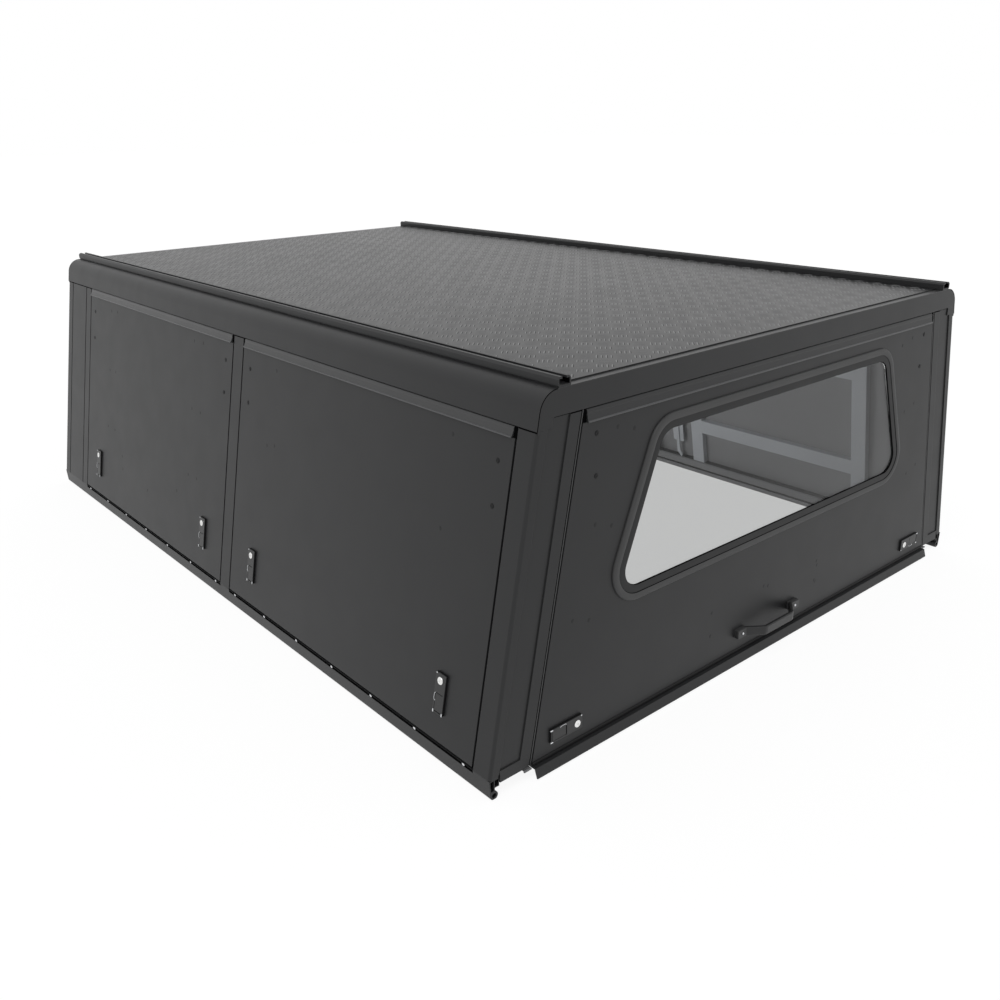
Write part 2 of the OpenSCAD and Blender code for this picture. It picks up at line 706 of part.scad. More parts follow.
side_paddle(-1, front_door, 2);  // left_front_paddle_2
side_door_skin(1, rear_door);  // right_rear_door_skin
side_door_frame(1, rear_door);  // right_rear_door_frame
side_door_hinge(1, rear_door);  // right_rear_door_hinge
side_latch_bodies(1, rear_door);  // right_rear_latch_bodies
side_paddle(1, rear_door, 1);  // right_rear_paddle_1
side_paddle(1, rear_door, 2);  // right_rear_paddle_2
side_door_skin(1, front_door);  // right_front_door_skin
side_door_frame(1, front_door);  // right_front_door_frame
side_door_hinge(1, front_door);  // right_front_door_hinge
side_latch_bodies(1, front_door);  // right_front_latch_bodies
side_paddle(1, front_door, 1);  // right_front_paddle_1
side_paddle(1, front_door, 2);  // right_front_paddle_2
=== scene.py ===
import math

import bmesh
import bpy
from mathutils import Matrix, Vector


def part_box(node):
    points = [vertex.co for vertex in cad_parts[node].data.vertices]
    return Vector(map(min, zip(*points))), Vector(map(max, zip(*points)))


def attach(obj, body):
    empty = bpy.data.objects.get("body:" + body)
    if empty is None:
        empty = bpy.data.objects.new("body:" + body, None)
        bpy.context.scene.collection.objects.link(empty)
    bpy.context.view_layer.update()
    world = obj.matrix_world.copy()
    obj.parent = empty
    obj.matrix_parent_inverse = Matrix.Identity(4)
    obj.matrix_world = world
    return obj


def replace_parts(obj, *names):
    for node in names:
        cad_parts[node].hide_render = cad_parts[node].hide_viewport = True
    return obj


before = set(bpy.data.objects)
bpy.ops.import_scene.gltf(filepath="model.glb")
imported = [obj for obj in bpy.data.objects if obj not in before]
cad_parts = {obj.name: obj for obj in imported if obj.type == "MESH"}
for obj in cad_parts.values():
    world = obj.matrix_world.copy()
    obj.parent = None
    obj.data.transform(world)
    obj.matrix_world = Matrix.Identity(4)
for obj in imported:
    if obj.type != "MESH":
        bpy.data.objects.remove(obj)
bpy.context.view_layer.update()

MM = 0.001

# Places and sizes taken from the frame
RAIL_LOW, RAIL_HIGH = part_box("base_rail_right")
SHEET_LOW, SHEET_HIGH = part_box("roof_sheet")
REAR_Y = RAIL_LOW[1]
FRONT_Y = RAIL_HIGH[1]
REAR_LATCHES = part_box("rear_latch_bodies")
GLASS_LOW, GLASS_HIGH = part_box("rear_window_glass")
HANDLE_LOW, HANDLE_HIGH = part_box("rear_door_handle")
SKIN_LOW, SKIN_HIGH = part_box("rear_door_skin")
ROOF_Z = SHEET_LOW[2]
HEADER_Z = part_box("front_header")[0][2]

# The walls lean in from the base rails' top to the cant rails
BASE_HALF = RAIL_HIGH[0]
BASE_Z = RAIL_HIGH[2]
TOP_HALF = 708 * MM
TOP_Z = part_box("mid_post_right")[1][2]
LEAN = math.atan((BASE_HALF - TOP_HALF) / (TOP_Z - BASE_Z))

# Radius of the cant rails' curve, and how far they stand out past the wall
CANT_R = 42 * MM
CANT_PROUD = 2 * MM
# Width of a corner post on an end face
POST_W = 98 * MM
# From the wall's edge to the rear door, from a side door to its posts, and from a door's edge to its strip
REAR_INSET = 106 * MM
SIDE_GAP = 5 * MM
STRIP_END = {"side": 5 * MM, "rear": 9 * MM}
SIDE_STRIP_H = 22 * MM
# Length, width and height over the sheet
LATCH = (82 * MM, 30 * MM, 5 * MM)

SIDES = {"left": -1, "right": 1}
SIDE_DOORS = [f"{side}_{end}" for side in SIDES for end in ("rear", "front")]


def wall_half(z):
    return BASE_HALF - (z - BASE_Z) * math.tan(LEAN)


def axes(x, y, z, place):
    """Matrix whose columns are three axes and a place."""
    m = Matrix.Identity(4)
    for column, vector in enumerate((x, y, z, place)):
        for row in range(3):
            m[row][column] = vector[row]
    return m


def wall_directions(side):
    """A side wall's direction outward, and its direction up the slope."""
    s = SIDES[side]
    return Vector((s * math.cos(LEAN), 0, math.sin(LEAN))), Vector((-s * math.sin(LEAN), 0, math.cos(LEAN)))


def on_wall(side, y, z):
    """Matrix at a place on a side wall's face: X outward, Z up the wall."""
    outward, up = wall_directions(side)
    return axes(outward, up.cross(outward), up, Vector((SIDES[side] * wall_half(z), y, z)))


def wall_frame(side):
    """Axes of a side wall from its upper edge: X outward, Y to the front, Z up the wall."""
    outward, up = wall_directions(side)
    return axes(outward, Vector((0, 1, 0)), up, Vector((SIDES[side] * TOP_HALF, 0, TOP_Z)))


def on_rear(x, z, out=0.0):
    """Matrix at a place on the rear face: X outward, to the rear, Z up."""
    return axes(Vector((0, -1, 0)), Vector((1, 0, 0)), Vector((0, 0, 1)), Vector((x, REAR_Y - out, z)))


def on_front(x, z):
    """Matrix at a place on the front face: X outward, to the front, Z up."""
    return axes(Vector((0, 1, 0)), Vector((-1, 0, 0)), Vector((0, 0, 1)), Vector((x, FRONT_Y, z)))


# Node materials
class Nodes:
    """The node tree of a material or a world, built by short calls."""

    def __init__(self, owner, output="ShaderNodeOutputMaterial"):
        owner.use_nodes = True
        self.owner = owner
        self.tree = owner.node_tree
        self.tree.nodes.clear()
        self.output = self.add(output)

    def add(self, kind, **settings):
        node = self.tree.nodes.new(kind)
        for key, value in settings.items():
            setattr(node, key, value)
        return node

    def link(self, source, target):
        self.tree.links.new(source, target)

    def maths(self, operation, *values):
        """Maths node on sockets and plain numbers."""
        node = self.add("ShaderNodeMath", operation=operation)
        for socket, value in zip(node.inputs, values):
            if isinstance(value, float):
                socket.default_value = value
            else:
                self.link(value, socket)
        return node.outputs[0]

    def mix(self, share, first, second):
        """Mix of two shaders."""
        node = self.add("ShaderNodeMixShader")
        for socket, value in zip(node.inputs, (share, first, second)):
            self.link(value, socket)
        return node.outputs["Shader"]

    def seen_directly(self):
        """1 for camera, mirror and glass rays, else 0."""
        path = self.add("ShaderNodeLightPath").outputs
        either = self.maths("MAXIMUM", path["Is Camera Ray"], path["Is Glossy Ray"])
        return self.maths("MAXIMUM", either, path["Is Transmission Ray"])

    def noise(self, scale, detail=2.0):
        node = self.add("ShaderNodeTexNoise")
        node.inputs["Scale"].default_value = scale
        node.inputs["Detail"].default_value = detail
        self.link(self.add("ShaderNodeTexCoord").outputs["Object"], node.inputs["Vector"])
        return node.outputs["Fac"]

    def spread(self, value, low, high, start=0.3, end=0.7):
        """Maps a noise value to a range."""
        node = self.add("ShaderNodeMapRange")
        for name, number in (("From Min", start), ("From Max", end), ("To Min", low), ("To Max", high)):
            node.inputs[name].default_value = number
        self.link(value, node.inputs["Value"])
        return node.outputs["Result"]

    def tint(self, value, dark, light):
        """Colour between two by a value."""
        node = self.add("ShaderNodeMix", data_type="RGBA")
        node.inputs[6].default_value = (*dark, 1)
        node.inputs[7].default_value = (*light, 1)
        self.link(value, node.inputs["Factor"])
        return node.outputs[2]

    def principled(self, **values):
        shader = self.add("ShaderNodeBsdfPrincipled")
        for name, value in values.items():
            shader.inputs[name.replace("_", " ")].default_value = value
        return shader

    def bump(self, height, strength, distance, edge=0.0):
        node = self.add("ShaderNodeBump")
        node.inputs["Strength"].default_value = strength
        node.inputs["Distance"].default_value = distance
        self.link(height, node.inputs["Height"])
        if edge:
            bevel = self.add("ShaderNodeBevel", samples=4)
            bevel.inputs["Radius"].default_value = edge
            self.link(bevel.outputs["Normal"], node.inputs["Normal"])
        return node.outputs["Normal"]


def new_material(name):
    return Nodes(bpy.data.materials.new(name))


def scaled(colour, factor):
    return tuple(c * factor for c in colour)


# Half width, half length and height of the load space
LOAD_SPACE = (0.62, 1.085, 0.7)
# Least part of a face's normal that points inward
SQUARELY = 0.8


def inside_mask(n):
    """1 on the walls' and end panels' faces that look into the load space, else 0."""
    def split(vector):
        node = n.add("ShaderNodeSeparateXYZ")
        n.link(vector, node.inputs[0])
        return node.outputs

    coordinates = n.add("ShaderNodeTexCoord")
    place = split(coordinates.outputs["Object"])
    below_roof = n.maths("LESS_THAN", place[2], LOAD_SPACE[2])
    normal = split(coordinates.outputs["Normal"])
    parts = []
    for axis, other in ((0, 1), (1, 0)):
        facing = n.maths("MULTIPLY", normal[axis], n.maths("SIGN", place[axis]))
        within = n.maths("LESS_THAN", n.maths("ABSOLUTE", place[other]), LOAD_SPACE[other])
        parts.append(n.maths("MULTIPLY", n.maths("LESS_THAN", facing, -SQUARELY), within))
    return n.maths("MULTIPLY", n.maths("MAXIMUM", *parts), below_roof)


def coat(name, colour, rough, specular, grain=700.0, bump=0.05, edge=0.0012, drift=0.025, inside=None):
    """Powder coat: fine orange peel, slow drift in shade and gloss, soft edges."""
    n = new_material(name)
    shader = n.principled(Specular_IOR_Level=specular)
    slow = n.noise(5.0, 3.0)
    fine = n.noise(grain, 2.0)
    shade = n.tint(n.spread(slow, 0, 1), scaled(colour, 1 - drift), scaled(colour, 1 + drift))
    if inside:
        inner = n.tint(n.spread(slow, 0, 1), scaled(inside, 1 - drift), scaled(inside, 1 + drift))
        mix = n.add("ShaderNodeMix", data_type="RGBA")
        n.link(inside_mask(n), mix.inputs["Factor"])
        n.link(shade, mix.inputs[6])
        n.link(inner, mix.inputs[7])
        shade = mix.outputs[2]
    n.link(shade, shader.inputs["Base Color"])
    n.link(n.spread(n.noise(14.0, 4.0), rough - 0.015, rough + 0.02), shader.inputs["Roughness"])
    n.link(n.bump(fine, bump, 0.0004, edge), shader.inputs["Normal"])
    n.link(shader.outputs["BSDF"], n.output.inputs["Surface"])
    return n.owner


def metal(name, colour, rough, grain, edge):
    """Bare metal with a fine mottled finish."""
    n = new_material(name)
    shader = n.principled(Metallic=1.0)
    mottle = n.noise(grain, 3.0)
    n.link(n.tint(n.spread(mottle, 0, 1), scaled(colour, 0.86), colour), shader.inputs["Base Color"])
    n.link(n.spread(n.noise(20.0, 3.0), rough - 0.06, rough + 0.08), shader.inputs["Roughness"])
    n.link(n.bump(mottle, 0.08, 0.0002, edge), shader.inputs["Normal"])
    n.link(shader.outputs["BSDF"], n.output.inputs["Surface"])
    return n.owner


def tinted_glass(name, colour):
    """Clear tinted pane that lets lamps through."""
    n = new_material(name)
    shader = n.principled(Roughness=0.0, IOR=1.2, Transmission_Weight=1.0)
    n.link(n.tint(n.spread(n.noise(2.0), 0, 1), scaled(colour, 0.985), colour), shader.inputs["Base Color"])
    open_shader = n.add("ShaderNodeBsdfTransparent")
    open_shader.inputs["Color"].default_value = (*colour, 1)
    shadow = n.add("ShaderNodeLightPath").outputs["Is Shadow Ray"]
    n.link(n.mix(shadow, shader.outputs["BSDF"], open_shader.outputs["BSDF"]), n.output.inputs["Surface"])
    return n.owner


CHARCOAL = (0.0152, 0.0155, 0.0162)
TREAD_FACE = {"grain": 900.0, "bump": 0.04, "edge": 0.0}
GASKET_FACE = {"grain": 1500.0, "bump": 0.06, "edge": 0.0}
MATERIALS = {
    "coat": coat("charcoal_coat", CHARCOAL, 0.44, 0.30, inside=(0.31, 0.312, 0.318)),
    # Hinge strips, side and rear: the charcoal coat 1.3 and 1.15 times lighter as painted light on their
    # upward-tilted faces
    "strip": coat("hinge_strip_painted_lit_coat", scaled(CHARCOAL, 1.3), 0.36, 0.52),
    "rear_strip": coat("rear_strip_painted_lit_coat", scaled(CHARCOAL, 1.15), 0.42, 0.34),
    "header": coat("header_coat", CHARCOAL, 0.40, 0.40),
    # Strip lips: the coat 3.4 times lighter, a painted highlight along the strips' lower edges
    "lip": coat("strip_lip_painted_highlight", scaled(CHARCOAL, 3.4), 0.34, 0.55, edge=0.0),
    "flush": coat("flush_plate_coat", CHARCOAL, 0.44, 0.30, edge=0.0),
    "bracket": coat("bracket_grey", (0.18, 0.182, 0.186), 0.5, 0.3, grain=900.0, edge=0.0006),
    "roof": coat("tread_coat", (0.0085, 0.0087, 0.0092), 0.30, 0.12, grain=500.0, bump=0.04, drift=0.01),
    # Lighter and darker copies of the tread coat for the bars' sides: painted light and painted shade, as if
    # lit from the left
    "tread_painted_light": coat("tread_painted_lit_side", (0.12, 0.121, 0.123), 0.40, 0.40, **TREAD_FACE),
    "tread_painted_half_light": coat("tread_painted_half_lit_side", (0.085, 0.0855, 0.087), 0.40, 0.34, **TREAD_FACE),
    "tread_painted_shade": coat("tread_painted_shaded_side", (0.007, 0.007, 0.0072), 0.5, 0.16, **TREAD_FACE),
    "latch": coat("latch_coat", (0.019, 0.0192, 0.0198), 0.38, 0.38, grain=900.0, edge=0.0008),
    "handle": coat("handle_plastic", (0.013, 0.0132, 0.0138), 0.38, 0.4, grain=1300.0, bump=0.2),
    # The handle's colour made twice lighter for its lit faces, painted light
    "grip": coat("handle_grip", (0.026, 0.0262, 0.027), 0.42, 0.4, grain=1300.0, bump=0.1, edge=0.0),
    "black": coat("black_coat", (0.006, 0.006, 0.0063), 0.5, 0.2, grain=900.0),
    # Matt black without gloss, put in gaps, seams, slots and channels as painted shadow
    "painted_gap_shade": coat("painted_gap_shadow_black", (0.0028, 0.0028, 0.003), 1.0, 0.0, grain=900.0, edge=0.0),
    "rubber": coat("black_rubber", (0.0075, 0.0075, 0.0078), 0.62, 0.25, grain=1500.0, bump=0.3),
    # One gasket rubber in two copies: lighter for the round outer band as painted light, darker for the inner
    # band as painted shade
    "gasket": coat("gasket_rubber_painted_light", (0.038, 0.0382, 0.0388), 0.50, 0.36, **GASKET_FACE),
    "gasket_painted_shade": coat("gasket_rubber_painted_shade", (0.0175, 0.0177, 0.0182), 0.55, 0.25, **GASKET_FACE),
    "frame": coat("inner_frame_coat", (0.68, 0.705, 0.74), 0.45, 0.4, grain=500.0),
    "zinc": metal("zinc_steel", (0.74, 0.75, 0.77), 0.28, 900.0, 0.0006),
    "lock": metal("polished_lock", (0.86, 0.86, 0.85), 0.18, 1200.0, 0.0002),
    "rivet": coat("coated_rivet", (0.006, 0.0061, 0.0065), 0.5, 0.2, grain=1400.0, edge=0.0),
    "rivet_faint": coat("flush_rivet", scaled(CHARCOAL, 0.72), 0.48, 0.26, grain=1400.0, edge=0.0),
    "glass": tinted_glass("tinted_glass", (0.548, 0.553, 0.551)),
}


def node_finish(name):
    """The finish that a CAD node shows."""
    if name == "roof_sheet":
        return "roof"
    if name.endswith("glass"):
        return "glass"
    if name.endswith("gasket"):
        return "gasket"
    if name.endswith("door_frame") or name == "roof_bows":
        return "frame"
    if name == "rear_brackets":
        return "bracket"
    if name.endswith("header"):
        return "header"
    # Hinge strips take the lighter coat copies, painted light
    if name.endswith("door_hinge"):
        return "rear_strip" if name.startswith("rear_door") else "strip"
    if name == "door_seals":
        return "rubber"
    if "latch" in name or "paddle" in name:
        return "latch"
    return "coat"


for node_name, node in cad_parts.items():
    finish = MATERIALS[node_finish(node_name)]
    for slot_index in range(len(node.data.materials)):
        node.data.materials[slot_index] = finish
    if not node.data.materials:
        node.data.materials.append(finish)


# Mesh pieces
class Piece:
    """A mesh that gathers shapes, and then becomes one object on a body."""

    def __init__(self, name, body, *finishes):
        self.name = name
        self.body = body
        self.finishes = finishes
        self.points = []
        self.faces = []
        self.slots = []

    def add(self, points, faces, place=None, finish=0):
        start = len(self.points)
        place = place or Matrix.Identity(4)
        flip = place.to_3x3().determinant() < 0
        self.points += [place @ Vector(p) for p in points]
        for face in faces:
            ring = [start + i for i in face]
            self.faces.append(ring[::-1] if flip else ring)
            self.slots.append(finish)

    def make(self, smooth=40.0):
        mesh = bpy.data.meshes.new(self.name)
        mesh.from_pydata(self.points, [], self.faces)
        for finish in self.finishes:
            mesh.materials.append(MATERIALS[finish])
        for polygon, slot in zip(mesh.polygons, self.slots):
            polygon.material_index = slot
            polygon.use_smooth = smooth > 0
        mesh.validate()
        shell = bmesh.new()
        shell.from_mesh(mesh)
        bmesh.ops.recalc_face_normals(shell, faces=shell.faces)
        shell.to_mesh(mesh)
        shell.free()
        if smooth > 0:
            mesh.set_sharp_from_angle(angle=math.radians(smooth))
        mesh.update()
        piece = bpy.data.objects.new(self.name, mesh)
        bpy.context.scene.collection.objects.link(piece)
        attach(piece, self.body)
        return piece


def lathe(profile, steps=20):
    """Closed shape turned about X from (radius, x) points, which start and end on the axis."""
    points, faces, rings = [], [], []
    for radius, x in profile:
        if radius < 1e-7:
            rings.append([len(points)])
            points.append((x, 0, 0))
        else:
            rings.append(list(range(len(points), len(points) + steps)))
            for i in range(steps):
                a = 2 * math.pi * i / steps
                points.append((x, radius * math.cos(a), radius * math.sin(a)))
    for a, b in zip(rings, rings[1:]):
        for i in range(steps):
            j = (i + 1) % steps
            ring = [a[i % len(a)], a[j % len(a)], b[j % len(b)], b[i % len(b)]]
            ring = list(dict.fromkeys(ring))
            if len(ring) > 2:
                faces.append(ring)
    return points, faces


def slab(outline, low, high, chamfer=0.0):
    """Plate along X from low to high, with an outline of (y, z) points and chamfered upper edges."""
    centre = Vector((sum(p[0] for p in outline), sum(p[1] for p in outline))) / len(outline)
    levels = [(low, 0.0), (high - chamfer, 0.0), (high, chamfer)] if chamfer else [(low, 0.0), (high, 0.0)]
    points, faces = [], []
    n = len(outline)
    for x, inset in levels:
        for p in outline:
            away = Vector(p) - centre
            shrink = max(0.0, 1 - inset / max(away.length, 1e-9))
            q = centre + away * shrink
            points.append((x, q[0], q[1]))
    for level in range(len(levels) - 1):
        for i in range(n):
            j = (i + 1) % n
            a, b = level * n, (level + 1) * n
            faces.append([a + i, a + j, b + j, b + i])
    faces.append(list(range(n))[::-1])
    faces.append([(len(levels) - 1) * n + i for i in range(n)])
    return points, faces


def rectangle(y0, z0, y1, z1):
    return [(y0, z0), (y1, z0), (y1, z1), (y0, z1)]


def rounded(y0, z0, y1, z1, r, steps=5):
    """Outline of a rectangle with round corners, as (y, z) points."""
    outline = []
    corners = ((y1 - r, z0 + r, -90), (y1 - r, z1 - r, 0), (y0 + r, z1 - r, 90), (y0 + r, z0 + r, 180))
    for cy, cz, start in corners:
        for i in range(steps + 1):
            a = math.radians(start + 90 * i / steps)
            outline.append((cy + r * math.cos(a), cz + r * math.sin(a)))
    return outline


def fillet(corners, radius, steps=6):
    """Path through the corners, with each inner corner rounded."""
    path = [Vector(corners[0])]
    for before, corner, after in zip(corners, corners[1:], corners[2:]):
        before, corner, after = Vector(before), Vector(corner), Vector(after)
        a = (before - corner).normalized()
        b = (after - corner).normalized()
        half = a.angle(b) / 2
        reach = min(radius / math.tan(half), (before - corner).length / 2, (after - corner).length / 2)
        for i in range(steps + 1):
            t = i / steps
            p0, p2 = corner + a * reach, corner + b * reach
            path.append((1 - t) ** 2 * p0 + 2 * t * (1 - t) * corner + t * t * p2)
    path.append(Vector(corners[-1]))
    return path


def sweep(path, section, up):
    """Solid swept along a path from a section of (across, up) points."""
    path = [Vector(p) for p in path]
    points, faces = [], []
    count = len(path)
    size = len(section)
    for i, place in enumerate(path):
        before, after = path[max(i - 1, 0)], path[min(i + 1, count - 1)]
        back, ahead = place - before, after - place
        if back.length < 1e-9:
            back = ahead
        if ahead.length < 1e-9:
            ahead = back
        middle = (back.normalized() + ahead.normalized()).normalized()
        across = middle.cross(up).normalized()
        widen = 1 / max(0.4, middle.dot(ahead.normalized()))
        for u, v in section:
            points.append(place + across * u * widen + up * v)
    for i in range(count - 1):
        for k in range(size):
            m = (k + 1) % size
            faces.append([i * size + k, i * size + m, (i + 1) * size + m, (i + 1) * size + k])
    faces.append(list(range(size))[::-1])
    faces.append([(count - 1) * size + k for k in range(size)])
    return points, faces


def add_bar(piece, points, size):
    """Bar between two equal end outlines."""
    faces = [[k, (k + 1) % size, size + (k + 1) % size, size + k] for k in range(size)]
    faces += [list(range(size))[::-1], [size + k for k in range(size)]]
    piece.add(points, faces)


def bead_section(width, height, base):
    """Low rounded strip, as (across, up) points from its base."""
    w = width / 2
    return [(-w, base), (w, base), (w, height * 0.5), (w * 0.8, height * 0.85), (w * 0.4, height),
            (-w * 0.4, height), (-w * 0.8, height * 0.85), (-w, height * 0.5)]


def strip(path, up, width, height, sunk=0.1 * MM):
    """Rounded strip on a face whose outward direction is up, sunk a little into it."""
    section = bead_section(width, height, -sunk)
    return sweep(path, section, Vector(up))


def even(a, b, count):
    """Places spread evenly from a to b."""
    return [a + (b - a) * i / (count - 1) for i in range(count)]


# Raised tread on the roof sheet
TREAD_PITCH = 50 * MM
TREAD_START = (-405.5 * MM, -932 * MM)
# Half length, half width and height of a bar, and the bars of a group
TREAD_BAR = (14 * MM, 2.1 * MM, 0.42 * MM)
TREAD_STEP = 9.1 * MM
TREAD_BARS = 4
# Groups counted each way from the start, more than the sheet holds
TREAD_REACH = 60


def tread_bar(near, far):
    """One raised lens of the tread along X, with a finish for its -Y side and one for its +Y side, which
    paint light on one side and shade on the other.
    """
    length, width, height = TREAD_BAR
    full = length * 0.55
    base = [(-length, 0), (-full, -width), (full, -width), (length, 0), (full, width), (-full, width)]
    points = [(x, y, 0) for x, y in base] + [(-full, 0, height), (full, 0, height)]
    return points, (((0, 1, 6), (1, 2, 7, 6), (2, 3, 7)), near), (((3, 4, 7), (4, 5, 6, 7), (5, 0, 6)), far)


def roof_tread():
    piece = Piece("roof_tread", "frame", "roof", "tread_painted_light", "tread_painted_shade", "tread_painted_half_light")
    margin = 6 * MM
    x_low, x_high = SHEET_LOW[0] + margin, SHEET_HIGH[0] - margin
    y_low, y_high = SHEET_LOW[1] + margin, SHEET_HIGH[1] - margin
    # Each group's bars take painted light on one side and painted shade on the other
    for group, turn, near, far in (((0, 0), 45, 2, 1), ((0.5, 0.5), -45, 3, 0)):
        points, *painted_halves = tread_bar(near, far)
        a = math.radians(turn)
        along = Vector((math.cos(a), math.sin(a)))
        across = Vector((-math.sin(a), math.cos(a)))
        reach = along * TREAD_BAR[0]
        spread = (abs(reach[0]), abs(reach[1]))
        for i in range(-TREAD_REACH, TREAD_REACH):
            for j in range(-TREAD_REACH, TREAD_REACH):
                centre = Vector((TREAD_START[0] + (i + group[0]) * TREAD_PITCH,
                                 TREAD_START[1] + (j + group[1]) * TREAD_PITCH))
                for k in range(TREAD_BARS):
                    p = centre + across * (k - (TREAD_BARS - 1) / 2) * TREAD_STEP
                    if not (x_low + spread[0] < p[0] < x_high - spread[0]
                            and y_low + spread[1] < p[1] < y_high - spread[1]):
                        continue
                    uneven = (math.sin(i * 12.9 + j * 78.2 + k * 37.7) * 43758.5) % 1
                    worn = Matrix.Diagonal((0.85 + 0.15 * uneven, 0.8 + 0.25 * uneven, 1, 1))
                    turned = Matrix.Rotation(a, 4, "Z") @ worn
                    start = len(piece.points)
                    piece.add(points, [], Matrix.Translation((p[0], p[1], SHEET_HIGH[2])) @ turned)
                    for faces, finish in painted_halves:
                        piece.faces += [[start + corner for corner in face] for face in faces]
                        piece.slots += [finish] * len(faces)
    piece.make(smooth=0)


def roof_sealant():
    """Thin bead of sealant along the roof sheet's front and rear edges."""
    section = [(-1.2 * MM, -0.2 * MM), (1.6 * MM, -0.2 * MM), (1.4 * MM, 0.4 * MM), (0.0, 1.3 * MM),
               (-1.2 * MM, 1.7 * MM)]
    for end, y, outward in (("rear", SHEET_LOW[1], -1), ("front", SHEET_HIGH[1], 1)):
        piece = Piece(f"roof_sealant_{end}", "frame", "rubber")
        points = [(x, y + outward * across, SHEET_LOW[2] + up)
                  for x in (SHEET_LOW[0], SHEET_HIGH[0]) for across, up in section]
        add_bar(piece, points, len(section))
        piece.make(smooth=60)


# Fasteners
def rivet_shape(radius, height, sunk=0.5 * MM):
    """Low dome of a blind rivet with its small centre dimple."""
    return lathe([(0, -sunk), (radius, -sunk), (radius, 0.15 * MM), (radius * 0.86, height * 0.62),
                  (radius * 0.55, height * 0.93), (radius * 0.34, height), (radius * 0.26, height * 0.7),
                  (0, height * 0.66)], 16)


def flush_rivet_shape(radius, height, sunk=0.5 * MM):
    """Almost flat head of a flush rivet."""
    return lathe([(0, -sunk), (radius, -sunk), (radius, height * 0.1), (radius - 0.6 * MM, height * 0.8),
                  (0, height)], 14)


def screw_shape(radius, height, sunk=0.5 * MM):
    """Button head screw with a round recess."""
    return lathe([(0, -sunk), (radius, -sunk), (radius, height * 0.25), (radius * 0.9, height * 0.7),
                  (radius * 0.7, height), (radius * 0.5, height), (radius * 0.46, height * 0.4),
                  (0, height * 0.35)], 18)


# Faint flush rivets in mm: on the side doors from the rear end and the floor, on the rear door from its
# middle and the floor. FLUSH_REAR stands on both sides of the middle.
FLUSH_SIDE = {"rear": [(894, 448), (859, 455), (872, 625), (217, 625), (222, 448)],
              "front": [(1903, 627), (1856, 630), (1904, 450), (1857, 452), (1907, 276), (1850, 276),
                        (1595, 661), (1314, 626), (1260, 628), (1310, 451), (1258, 450), (1313, 273),
                        (1262, 274), (1784, 209), (1776, 172), (1583, 157), (1381, 210)]}
FLUSH_REAR = [(515, 644), (471, 632), (568, 471), (525, 457), (623, 295), (580, 281)]
FLUSH_REAR_LOW = [(-204, 159), (-204, 103), (-1, 156), (196, 101), (194, 156), (197, 144), (191, 106),
                  (-18, 161)]


def door_rivets():
    """Two round rivets at each upper corner of a door, and the faint flush rivets of its inner frame."""
    rivet = rivet_shape(5.4 * MM, 1.0 * MM)
    flush = flush_rivet_shape(4.6 * MM, 0.2 * MM)
    for door in SIDE_DOORS:
        side, end = door.split("_")
        low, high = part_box(f"{door}_door_skin")
        piece = Piece(f"{door}_door_rivets", f"{door}_door", "rivet", "rivet_faint")
        inset = 36 * MM
        for y in (low[1] + inset, high[1] - inset):
            for z in (608 * MM, 528 * MM):
                piece.add(*rivet, on_wall(side, y, z))
        for t, z in FLUSH_SIDE[end]:
            piece.add(*flush, on_wall(side, REAR_Y + t * MM, z * MM), finish=1)
        piece.make()
    piece = Piece("rear_door_rivets", "rear_door", "rivet", "rivet_faint")
    for x in (-569 * MM, 569 * MM):
        for z in (644 * MM, 565 * MM):
            piece.add(*rivet, on_rear(x, z))
    for s in (-1, 1):
        for x, z in FLUSH_REAR:
            piece.add(*flush, on_rear(s * x * MM, z * MM), finish=1)
    for x, z in FLUSH_REAR_LOW:
        piece.add(*flush, on_rear(x * MM, z * MM), finish=1)
    piece.make()


def base_rail_edge():
    """Black band painted along the base rails' upper edge under the side doors as the shadow of the gap
    there, with its bright screw heads.
    """
    # Height and standoff of the black band of painted shadow in the gap
    seal, seal_out = 6 * MM, 0.01 * MM
    sunk = 0.1 * MM
    seals = ((REAR_Y + 48 * MM, REAR_Y + 1039 * MM), (REAR_Y + 1089 * MM, FRONT_Y - 210 * MM))
    # First screw of each door's row, from the rear end
    rows, screws, step = (76 * MM, 1117 * MM), 7, 155 * MM
    radius = 2.6 * MM
    head = lathe([(0, -sunk), (radius, -sunk), (radius, 0.015 * MM), (1.9 * MM, 0.025 * MM),
                  (0, 0.03 * MM)], 16)
    for side, s in SIDES.items():
        piece = Piece(f"base_rail_edge_{side}", "frame", "painted_gap_shade", "zinc")
        outward = Vector((s, 0, 0))
        face = axes(outward, Vector((0, 1, 0)), Vector((0, 0, 1)), Vector((s * BASE_HALF, 0, 0)))
        for y0, y1 in seals:
            piece.add(*slab(rectangle(y0, BASE_Z - seal, y1, BASE_Z - 0.05 * MM), -sunk, seal_out), face)
        for start in rows:
            for i in range(screws):
                spot = Vector((s * BASE_HALF, REAR_Y + start + step * i, BASE_Z - radius))
                piece.add(*head, axes(outward, Vector((0, 1.5, 0)), Vector((0, 0, 1)), spot), finish=1)
        piece.make()


